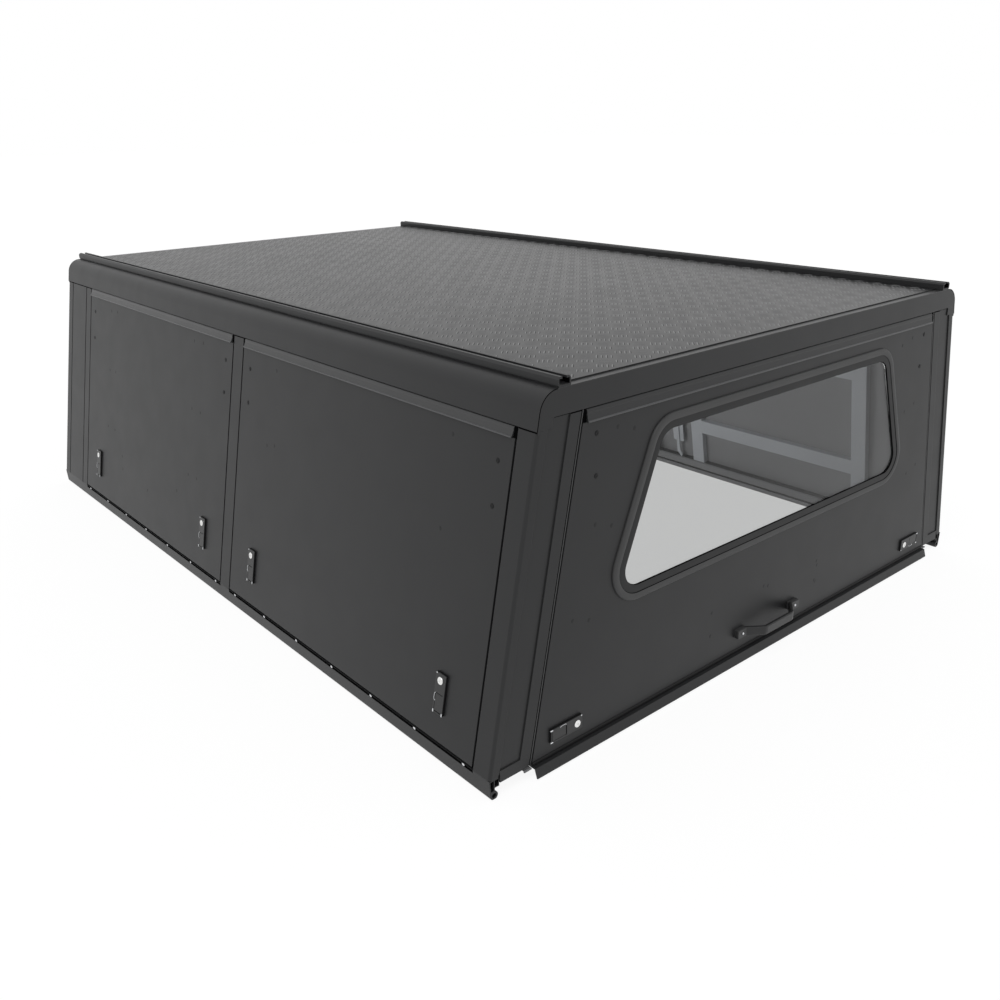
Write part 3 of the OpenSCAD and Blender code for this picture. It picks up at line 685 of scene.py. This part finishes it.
# Rear door handle
def rear_handle():
    """Pull handle: a flat bar bent out from two block feet, each with its washer and screw; the feet and a
    thin plate on the bar's front face are lighter, painted light.
    """
    piece = Piece("rear_handle", "rear_door", "handle", "zinc", "grip")
    screw_x = 100 * MM
    z = (HANDLE_LOW[2] + HANDLE_HIGH[2]) / 2
    thick, tall, out = 8.5 * MM, 21.6 * MM, 39 * MM
    foot, bend = 6 * MM, 51 * MM
    corners = [(-screw_x + 12 * MM, REAR_Y - foot, z), (-bend, REAR_Y - out + thick / 2, z),
               (bend, REAR_Y - out + thick / 2, z), (screw_x - 12 * MM, REAR_Y - foot, z)]
    path = fillet(corners, 13 * MM, 8)
    section = rounded(-thick / 2, -tall / 2, thick / 2, tall / 2, 2.6 * MM, 4)
    piece.add(*sweep(path, section, Vector((0, 0, 1))))
    block = slab(rounded(-17 * MM, -10.5 * MM, 17 * MM, 10.5 * MM, 3 * MM), 0, 11.5 * MM, 1.6 * MM)
    washer = lathe([(0, 11.3 * MM), (5.4 * MM, 11.3 * MM), (5.4 * MM, 11.8 * MM), (4.9 * MM, 12 * MM),
                    (0, 12 * MM)], 24)
    screw = screw_shape(2.9 * MM, 1.2 * MM)
    for x in (-screw_x, screw_x):
        piece.add(*block, on_rear(x, z), finish=2)
        piece.add(*washer, on_rear(x, z))
        piece.add(*screw, on_rear(x, z, 11.8 * MM), finish=1)
    # Thin plate on the bar's front face in the lighter copy, painted light
    face = slab(rounded(-bend + 4 * MM, -tall / 2 + 2 * MM, bend - 4 * MM, tall / 2 - 2 * MM, 2 * MM),
                out - 0.4 * MM, out + 0.25 * MM, 0.2 * MM)
    piece.add(*face, on_rear(0, z), finish=2)
    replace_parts(piece.make(), "rear_door_handle")


# Latches
def latch_places():
    """Each door's latches, in axes with X outward, Z along the latch and the lock at +Z."""
    places = {}
    for door in SIDE_DOORS:
        side = door.split("_")[0]
        low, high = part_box(f"{door}_door_skin")
        inset, z = 110 * MM, 144 * MM
        places[door] = [on_wall(side, y, z) for y in (low[1] + inset, high[1] - inset)]
    rear_x = REAR_LATCHES[1][0] - LATCH[0] / 2
    rear_z = (REAR_LATCHES[0][2] + REAR_LATCHES[1][2]) / 2
    places["rear"] = [on_rear(s * rear_x, rear_z) @ Matrix.Rotation(math.radians(s * 90), 4, "X")
                      for s in (-1, 1)]
    return places


def latch_collar(rim=0.7 * MM):
    """Black rim round a latch, as points and faces."""
    length, width, proud = LATCH
    half_w, half_l, within = width / 2, length / 2, 0.05 * MM
    outer = rounded(-half_w - rim, -half_l - rim, half_w + rim, half_l + rim, 2.2 * MM)
    inner = rounded(-half_w + within, -half_l + within, half_w - within, half_l - within, 1.4 * MM)
    n = len(outer)
    rings = ((0.0, outer), (proud - 0.5 * MM, outer), (proud - 0.15 * MM, inner), (0.0, inner))
    points = [(x, *p) for x, ring in rings for p in ring]
    faces = []
    for a in range(4):
        b = (a + 1) % 4
        faces += [[a * n + i, a * n + (i + 1) % n, b * n + (i + 1) % n, b * n + i] for i in range(n)]
    return points, faces


def latch_wire():
    """Bright hinge wire along a paddle's edge, bent in at its ends."""
    length, width, proud = LATCH
    y, bent = -width / 2 + 1.4 * MM, 3 * MM
    low, high = proud - 0.6 * MM, proud + 0.1 * MM
    path = fillet([(low, y + bent, -1 * MM), (high, y, -3.5 * MM), (high, y, -15 * MM),
                   (low, y + bent, -18 * MM)], 3 * MM, 5)
    section = rounded(-0.55 * MM, -0.55 * MM, 0.55 * MM, 0.55 * MM, 0.5 * MM, 2)
    return sweep(path, section, Vector((1, 0, 0)))


def latch_details():
    """Lock cylinder, black rim, bright studs and wire, and inner mechanism of each latch."""
    length, width, proud = LATCH
    lock_z = length / 2 - 14 * MM
    ring = lathe([(0, 0), (7.7 * MM, 0), (7.7 * MM, 1.5 * MM), (7.2 * MM, 2.0 * MM), (5.9 * MM, 2.1 * MM),
                  (5.5 * MM, 1.75 * MM), (5.1 * MM, 1.75 * MM), (4.8 * MM, 1.95 * MM), (0, 2.0 * MM)], 36)
    key = slab(rectangle(-0.35 * MM, -2.2 * MM, 0.35 * MM, 2.2 * MM), 1.8 * MM, 2.03 * MM)
    stud = lathe([(0, -1 * MM), (1.7 * MM, -1 * MM), (1.7 * MM, 0.3 * MM), (1.1 * MM, 0.45 * MM),
                  (0, 0.5 * MM)], 12)
    collar, wire = latch_collar(), latch_wire()
    # Side, end and stretch of each stud
    studs = ((-1, -1, 2.2), (1, -1, 2.2), (-1, 1, 1.0))
    stud_in = 1.8 * MM
    plate = slab(rounded(-22 * MM, -38 * MM, 22 * MM, 38 * MM, 5 * MM), -18 * MM, -15.6 * MM)
    nut = lathe([(0, -25 * MM), (8 * MM, -25 * MM), (9.2 * MM, -23.6 * MM), (9.2 * MM, -18 * MM),
                 (0, -18 * MM)], 6)
    arm = slab([(-6 * MM, 38 * MM), (-6 * MM, -70 * MM), (-15 * MM, -88 * MM), (-9 * MM, -96 * MM),
                (6 * MM, -78 * MM), (7 * MM, 38 * MM)], -22.5 * MM, -19.5 * MM)
    short_arm = slab([(-6 * MM, 38 * MM), (-6 * MM, -40 * MM), (6 * MM, -52 * MM), (7 * MM, 38 * MM)],
                     -22.5 * MM, -19.5 * MM)
    for door, spots in latch_places().items():
        body = "rear_door" if door == "rear" else f"{door}_door"
        piece = Piece(f"{door}_locks", body, "lock", "black", "zinc", "frame")
        for spot in spots:
            up = spot @ Matrix.Translation((proud, 0, lock_z))
            piece.add(*ring, up)
            piece.add(*key, up, finish=1)
            piece.add(*collar, spot, finish=1)
            for y, z, long in studs:
                corner = ((width / 2 - stud_in) * y, (length / 2 - stud_in) * z)
                there = spot @ Matrix.Translation((proud - 0.35 * MM, *corner))
                piece.add(*stud, there @ Matrix.Diagonal((1, 1, long, 1)), finish=2)
            piece.add(*wire, spot, finish=2)
            piece.add(*plate, spot, finish=3)
            piece.add(*nut, spot @ Matrix.Translation((0, 0, lock_z)), finish=2)
            piece.add(*(short_arm if door == "rear" else arm), spot, finish=3)
        piece.make()


# Window gaskets
def window_path(grow, spread=0.0, steps=14):
    """Closed path round the glass's edge, grown outward, and spread at its upper edge, on an end face."""
    low_z, high_z = GLASS_LOW[2], GLASS_HIGH[2] + spread
    low_half, high_half, r = 492 * MM, 406 * MM + spread, 42 * MM
    centres = [(-low_half + r, low_z + r), (low_half - r, low_z + r),
               (high_half - r, high_z - r), (-high_half + r, high_z - r)]
    radius = r + grow
    path = []
    for i, centre in enumerate(centres):
        before, after = Vector(centres[i - 1]), Vector(centres[(i + 1) % 4])
        centre = Vector(centre)
        incoming = (centre - before).normalized()
        outgoing = (after - centre).normalized()
        start = math.atan2(-incoming[0], incoming[1])
        turn = -incoming.angle_signed(outgoing)
        for k in range(steps + 1):
            a = start + turn * k / steps
            path.append((centre[0] + radius * math.cos(a), centre[1] + radius * math.sin(a)))
    return path


def window_gaskets():
    """Rubber profile round each window: a round outer band, a lower inner band, a clip behind the sheet; the
    outer band lighter as painted light, the inner band and clip darker as painted shade, and black lines of
    painted shadow in the groove and at the lip.
    """
    # Each point in mm: distance outside the glass's edge, and height over the sheet
    outer = [(29.0, 0.02), (29.0, 1.8), (28.2, 3.6), (26.6, 4.9), (24.2, 5.6), (21.0, 5.8), (17.6, 5.5),
             (14.8, 5.0)]
    groove = [(13.6, 4.6)]
    inner = [(12.6, 3.6), (8.0, 4.1), (2.0, 4.2), (-1.6, 4.2)]
    lip = [(-3.4, 4.0), (-4.6, 1.03)]
    clip = [(-1.5, 1.03), (0.2, 1.02), (0.2, -7.4), (1.3, -8.4), (28.0, -8.4), (29.0, -7.3), (29.0, -2.6),
            (15.0, -2.6), (15.0, 0.02)]
    profile = outer + groove + inner + lip + clip
    # Outer band painted light, inner band and clip painted shade, groove and lip black as painted shadow
    bands = [0] * len(outer) + [2] * len(groove) + [1] * len(inner) + [2] * len(lip) + [1] * len(clip)
    # The inner band and its lip stand a little further out along the upper edge
    first = len(outer) + len(groove)
    spread = range(first, first + len(inner) + len(lip))
    rings = [window_path(u * MM, 1.5 * MM if k in spread else 0.0) for k, (u, _) in enumerate(profile)]
    count, size = len(rings[0]), len(profile)
    points = [(v * MM, *rings[k][i]) for i in range(count) for k, (_, v) in enumerate(profile)]
    for name, body, place in (("rear", "rear_door", on_rear(0, 0)), ("front", "frame", on_front(0, 0))):
        piece = Piece(f"{name}_gasket", body, "gasket", "gasket_painted_shade", "painted_gap_shade")
        piece.add(points, [], place)
        for k, band in enumerate(bands):
            for i in range(count):
                a, b = i * size, (i + 1) % count * size
                piece.faces.append([a + k, a + (k + 1) % size, b + (k + 1) % size, b + k])
                piece.slots.append(band)
        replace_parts(piece.make(smooth=50), f"{name}_window_gasket")


# Seams, seals and trims, with black painted shadow in gaps, joints, slots and channels
def cant_outline(inset, steps=14):
    """Outline of a cant rail's end from its lower outer corner over the curve, as (x, z) points."""
    cz = ROOF_Z - CANT_R
    cx = wall_half(cz) + CANT_PROUD - CANT_R / math.cos(LEAN)
    r = CANT_R - inset
    low = (TOP_HALF + CANT_PROUD - inset, TOP_Z)
    arc = [(cx + r * math.cos(a), cz + r * math.sin(a)) for a in even(LEAN, math.pi / 2, steps)]
    return [low] + arc


def end_seam_shadows():
    """Black strips of painted shadow on the joints of the roof corners on both end faces, and under the cant
    rails on the posts.
    """
    piece = Piece("corner_seam_shadows", "frame", "painted_gap_shade")
    for place in (on_rear(0, 0), on_front(0, 0)):
        out = place.to_3x3() @ Vector((1, 0, 0))
        for s in (-1, 1):
            path = [place @ Vector((0, s * x, z)) for x, z in cant_outline(0.9 * MM)]
            piece.add(*strip(path, out, 1.7 * MM, 0.3 * MM))
            header_x = wall_half(HEADER_Z)
            # Painted shadow on the joint of header and post: wide beside the door, narrow further out
            for near, far, width in ((72 * MM, POST_W, 2.4 * MM), (34 * MM, 72 * MM, 0.7 * MM)):
                path = [place @ Vector((0, s * (header_x - d), HEADER_Z - width / 2)) for d in (near, far)]
                piece.add(*strip(path, out, width, 0.25 * MM))
    posts = ((REAR_Y + 1 * MM, REAR_Y + 46 * MM), (REAR_Y + 1041 * MM, REAR_Y + 1087 * MM),
             (FRONT_Y - 208 * MM, FRONT_Y - 1 * MM))
    for side in SIDES:
        frame_matrix = wall_frame(side)
        out = frame_matrix.to_3x3() @ Vector((1, 0, 0))
        for y0, y1 in posts:
            path = [frame_matrix @ Vector((0, y, -1.7 * MM)) for y in (y0, y1)]
            piece.add(*strip(path, out, 3.6 * MM, 0.5 * MM))
    piece.make()


def end_plates():
    """Thin plate over each header's face and the caps beside it, so that the roof's end is one flush face."""
    edge = 1.8 * MM
    low = 6 * MM
    for name, place in (("rear", on_rear(0, 0)), ("front", on_front(0, 0))):
        piece = Piece(f"{name}_end_plate", "frame", "flush")
        arc = cant_outline(edge, 18)
        header_x = wall_half(HEADER_Z)
        right = [(header_x - 0.5 * MM, HEADER_Z + 0.8 * MM), (header_x - 0.5 * MM, TOP_Z - low),
                 (TOP_HALF + CANT_PROUD - edge, TOP_Z - low)] + arc
        outline = right + [(-x, z) for x, z in right[::-1]]
        points = [(x, *p) for x in (-0.1 * MM, 0.15 * MM) for p in outline]
        n = len(outline)
        piece.add(points, [list(range(n)), [n + i for i in range(n)]]
                  + [[i, (i + 1) % n, n + (i + 1) % n, n + i] for i in range(n)], place)
        piece.make(smooth=0)


def hole_shade_plugs():
    """Black plugs that close the holes beside the ends of the hinge strips, painted shade in those holes."""
    piece = Piece("hinge_end_shade_plugs", "frame", "painted_gap_shade")
    place = on_rear(0, 0)
    strip_x = wall_half(SKIN_HIGH[2]) - REAR_INSET - STRIP_END["rear"]
    free = 0.3 * MM
    top = 693.8 * MM
    for s in (-1, 1):
        # Lower edge, inner end, and both faces of the plug beside the strip, and of the one behind it
        for low, x0, y0, y1 in ((670 * MM, strip_x + free, -14 * MM, -0.6 * MM),
                                (655 * MM, strip_x - 30 * MM, -31 * MM, -25 * MM)):
            outline = [(s * x0, low), (s * (wall_half(low) - POST_W - free), low),
                       (s * (wall_half(top) - POST_W - free), top), (s * x0, top)]
            piece.add(*slab(outline, y0, y1), place)
    for side in SIDES:
        frame_matrix = wall_frame(side)
        for door in ("rear", "front"):
            low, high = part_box(f"{side}_{door}_door_skin")
            for edge, inward in ((low[1], 1), (high[1], -1)):
                near = edge - inward * (SIDE_GAP - free)
                far = edge + inward * (STRIP_END["side"] - free)
                y0, y1 = sorted((near, far))
                beside = rectangle(y0, -19.5 * MM, y1, -0.4 * MM)
                piece.add(*slab(beside, -12 * MM, -0.6 * MM), frame_matrix)
                y0, y1 = sorted((near, edge + inward * 45 * MM))
                behind = rectangle(y0, -32 * MM, y1, -3.2 * MM)
                piece.add(*slab(behind, -30.8 * MM, -25 * MM), frame_matrix)
    piece.make(smooth=0)


def rear_gap_trims():
    """Thin strip that stands in the gap at each side of the rear door: its face in the hinge strips' lighter
    coat, painted light, and its sides black, painted shadow of the gap.
    """
    piece = Piece("rear_gap_trims", "frame", "painted_gap_shade", "strip")
    width, offset, foot_y = 2.3 * MM, POST_W + 3.9 * MM, REAR_Y + 22 * MM
    for s in (-1, 1):
        path = [Vector((s * (wall_half(z) - offset), foot_y, z)) for z in (30 * MM, 693.5 * MM)]
        for low, high, finish in ((0, 20.9 * MM, 0), (20.9 * MM, 21.7 * MM, 1)):
            section = [(-width / 2, low), (width / 2, low), (width / 2, high), (-width / 2, high)]
            piece.add(*sweep(path, section, Vector((0, -1, 0))), finish=finish)
    piece.make(smooth=0)


def strip_lip_highlights():
    """Lip along the lower edge of each hinge strip, coloured far lighter than the coat as a painted highlight
    of the light from above.
    """
    # Each point in mm: height over the strip's lower edge, and distance out
    section = [(3.0, 3.3), (1.9, 5.3), (1.0, 5.9), (0.0, 5.7), (-0.6, 5.0), (-0.8, 3.4)]
    for door in SIDE_DOORS:
        side = door.split("_")[0]
        low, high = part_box(f"{door}_door_skin")
        frame_matrix = wall_frame(side)
        y0, y1 = low[1] + STRIP_END["side"] + 0.2 * MM, high[1] - STRIP_END["side"] - 0.2 * MM
        points = [frame_matrix @ Vector((x * MM, y, -SIDE_STRIP_H + z * MM)) for y in (y0, y1)
                  for z, x in section]
        piece = Piece(f"{door}_strip_lip", f"{door}_door", "lip")
        add_bar(piece, points, len(section))
        piece.make(smooth=0)
    half = wall_half(SKIN_HIGH[2]) - REAR_INSET - STRIP_END["rear"] - 0.2 * MM
    place = on_rear(0, SKIN_HIGH[2])
    points = [place @ Vector((x * MM, y, z * MM)) for y in (-half, half) for z, x in section]
    piece = Piece("rear_strip_lip", "rear_door", "lip")
    add_bar(piece, points, len(section))
    piece.make(smooth=0)


def door_seal_and_shade_beads():
    """Black rubber over the rear door's flange, drawn tall so that it also stands for the painted shadow
    above the flange.
    """
    piece = Piece("rear_door_seal_and_shade", "rear_door", "black")
    half = wall_half(SKIN_LOW[2]) - REAR_INSET - 0.5 * MM
    path = [Vector((x, REAR_Y, 28.4 * MM)) for x in (-half, half)]
    piece.add(*strip(path, (0, -1, 0), 10.4 * MM, 2.0 * MM))
    piece.make()


def bracket_plates():
    """Flat plate of each rear bracket, which reaches out past the door's edge."""
    piece = Piece("bracket_plates", "frame", "bracket")
    foot_z, thick = 22.5 * MM, 1.8 * MM
    outline = rounded(REAR_Y - 3 * MM, -746 * MM, REAR_Y + 22 * MM, -728.5 * MM, 2 * MM, 3)
    for s in (-1, 1):
        place = axes(Vector((0, 0, 1)), Vector((0, 1, 0)), Vector((-s, 0, 0)), Vector((0, 0, foot_z)))
        piece.add(*slab(outline, 0, thick, 0.3 * MM), place)
    piece.make(smooth=30)


def post_foot_slot_shades():
    """Narrow black sliver at each corner post's foot, a slot drawn in painted shade."""
    piece = Piece("post_foot_slot_shades", "frame", "painted_gap_shade")
    inset, half = 22 * MM, 0.8 * MM
    low, high = 31 * MM, 47 * MM
    for place in (on_rear(0, 0), on_front(0, 0)):
        for s in (-1, 1):
            outline = [(s * (wall_half(z) - inset + side), z)
                       for z, side in ((low, -half), (low, half), (high, half), (high, -half))]
            piece.add(*slab(outline, -0.1 * MM, 0.08 * MM), place)
    piece.make(smooth=0)


def rail_shade_linings():
    """Black lining inside the accessory rails' open ends, painted shade in the channels."""
    for side in SIDES:
        low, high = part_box(f"accessory_rail_{side}")
        piece = Piece(f"rail_lining_{side}", "frame", "painted_gap_shade")
        x0, x1 = low[0] + 2.6 * MM, high[0] - 2.6 * MM
        z0, z1 = low[2] + 3.1 * MM, high[2] - 3.6 * MM
        thin, inset, deep = 0.5 * MM, 1 * MM, 120 * MM
        channel = [(x0, z0), (x1, z0), (x1, z1), (x1 - thin, z1), (x1 - thin, z0 + thin),
                   (x0 + thin, z0 + thin), (x0 + thin, z1), (x0, z1)]
        for y0, y1 in ((low[1] + inset, low[1] + deep), (high[1] - deep, high[1] - inset)):
            points = [Vector((x, y, z)) for y in (y0, y1) for x, z in channel]
            add_bar(piece, points, len(channel))
        piece.make(smooth=0)


roof_tread()
roof_sealant()
door_rivets()
base_rail_edge()
rear_handle()
latch_details()
window_gaskets()
end_seam_shadows()
end_plates()
hole_shade_plugs()
rear_gap_trims()
strip_lip_highlights()
door_seal_and_shade_beads()
bracket_plates()
post_foot_slot_shades()
rail_shade_linings()


# Floor, lights and background
def floor_surface(n):
    """Diffuse floor that camera, mirror and glass rays see as almost plain white."""
    diffuse = n.add("ShaderNodeBsdfDiffuse")
    diffuse.inputs["Color"].default_value = (0.86, 0.86, 0.86, 1)
    glow = n.add("ShaderNodeEmission")
    glow.inputs["Strength"].default_value = 1.04
    share = n.maths("MULTIPLY", n.seen_directly(), 0.86)
    return n.mix(share, diffuse.outputs["BSDF"], glow.outputs["Emission"])


def white_light(n, strength):
    background = n.add("ShaderNodeBackground")
    background.inputs["Color"].default_value = (1, 1, 1, 1)
    background.inputs["Strength"].default_value = strength
    return background.outputs["Background"]


def stage():
    size = 40.0
    mesh = bpy.data.meshes.new("floor")
    mesh.from_pydata([(-size, -size, 0), (size, -size, 0), (size, size, 0), (-size, size, 0)], [],
                     [(0, 1, 2, 3)])
    n = new_material("pale_floor")
    n.link(floor_surface(n), n.output.inputs["Surface"])
    mesh.materials.append(n.owner)
    floor = bpy.data.objects.new("floor", mesh)
    bpy.context.scene.collection.objects.link(floor)

    world = bpy.data.worlds.new("studio")
    bpy.context.scene.world = world
    n = Nodes(world, "ShaderNodeOutputWorld")
    n.link(n.mix(n.seen_directly(), white_light(n, 0.75), white_light(n, 1.0)), n.output.inputs["Surface"])

    fill = bpy.data.lights.new("inner_fill", "POINT")
    fill.energy = 14.0
    fill.shadow_soft_size = 0.15
    inner = bpy.data.objects.new("inner_fill", fill)
    inner.location = (-0.25, 0.1, 0.45)
    bpy.context.scene.collection.objects.link(inner)

    lamp = bpy.data.lights.new("soft_key", "SUN")
    lamp.energy = 0.9
    lamp.angle = math.radians(30)
    key = bpy.data.objects.new("soft_key", lamp)
    key.rotation_euler = Vector((-0.55, -0.25, 1.0)).to_track_quat("Z", "Y").to_euler()
    bpy.context.scene.collection.objects.link(key)


def camera():
    """The photograph's viewpoint."""
    place = Vector((-1.73758, -2.24865, 1.16107))
    azimuth, elevation, roll = (math.radians(a) for a in (40.114, 21.607, -1.133))
    ahead = Vector((math.cos(elevation) * math.sin(azimuth), math.cos(elevation) * math.cos(azimuth),
                    -math.sin(elevation)))
    right = Vector((math.cos(azimuth), -math.sin(azimuth), 0))
    up = right.cross(ahead)
    rolled_right = math.cos(roll) * right + math.sin(roll) * up
    rolled_up = -math.sin(roll) * right + math.cos(roll) * up
    data = bpy.data.cameras.new("camera")
    data.sensor_width = 36
    data.lens = 35.044
    eye = bpy.data.objects.new("camera", data)
    eye.matrix_world = axes(rolled_right, rolled_up, -ahead, place)
    bpy.context.scene.collection.objects.link(eye)
    bpy.context.scene.camera = eye


stage()
camera()
bpy.context.scene.view_settings.view_transform = "Standard"
